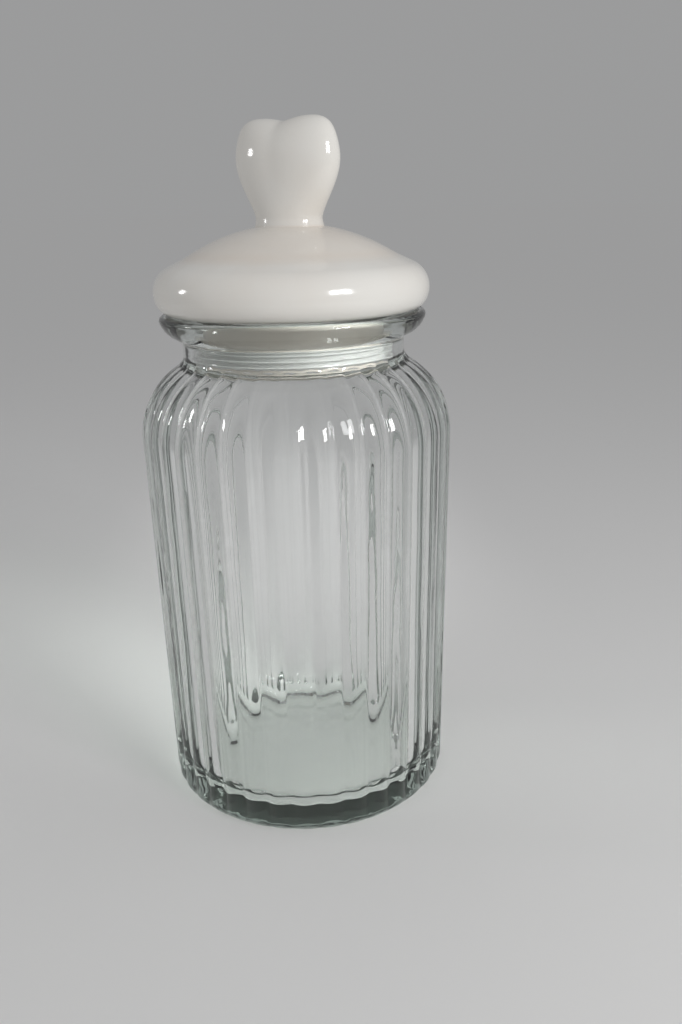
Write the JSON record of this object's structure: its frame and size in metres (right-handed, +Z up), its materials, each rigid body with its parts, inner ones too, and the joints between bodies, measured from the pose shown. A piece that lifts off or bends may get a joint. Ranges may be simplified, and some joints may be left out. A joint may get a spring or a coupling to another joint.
{
  "type": "lidded glass canister",
  "caption": "Ribbed clear glass storage jar with a glazed ceramic lid, heart-shaped knob and a finned clear seal ring. The lid turns freely and lifts out.",
  "frame": {"origin": "on the table, under the jar's axis", "axes": "+Z up along the jar's axis, -Y out of the heart's broad face at rest"},
  "size_m": [0.1206, 0.1206, 0.262],
  "materials": {
    "jar_glass": "clear, fire-polished",
    "lid_glaze": "cream-white gloss glaze",
    "seal_clear": "clear satin silicone"
  },
  "bodies": {
    "jar": {"glass_jar": "jar_glass"},
    "seal": {"seal_ring": "seal_clear"},
    "lid": {"ceramic_lid": "lid_glaze"}
  },
  "joints": [
    {"name": "lid_lift", "type": "slide", "parent": "jar", "child": "seal", "axis": [0, 0, 1], "range_m": [0, 0.1]},
    {"name": "lid_turn", "type": "hinge", "parent": "seal", "child": "lid", "pos_m": [0, 0, 0.1937], "axis": [0, 0, 1], "continuous": true}
  ]
}
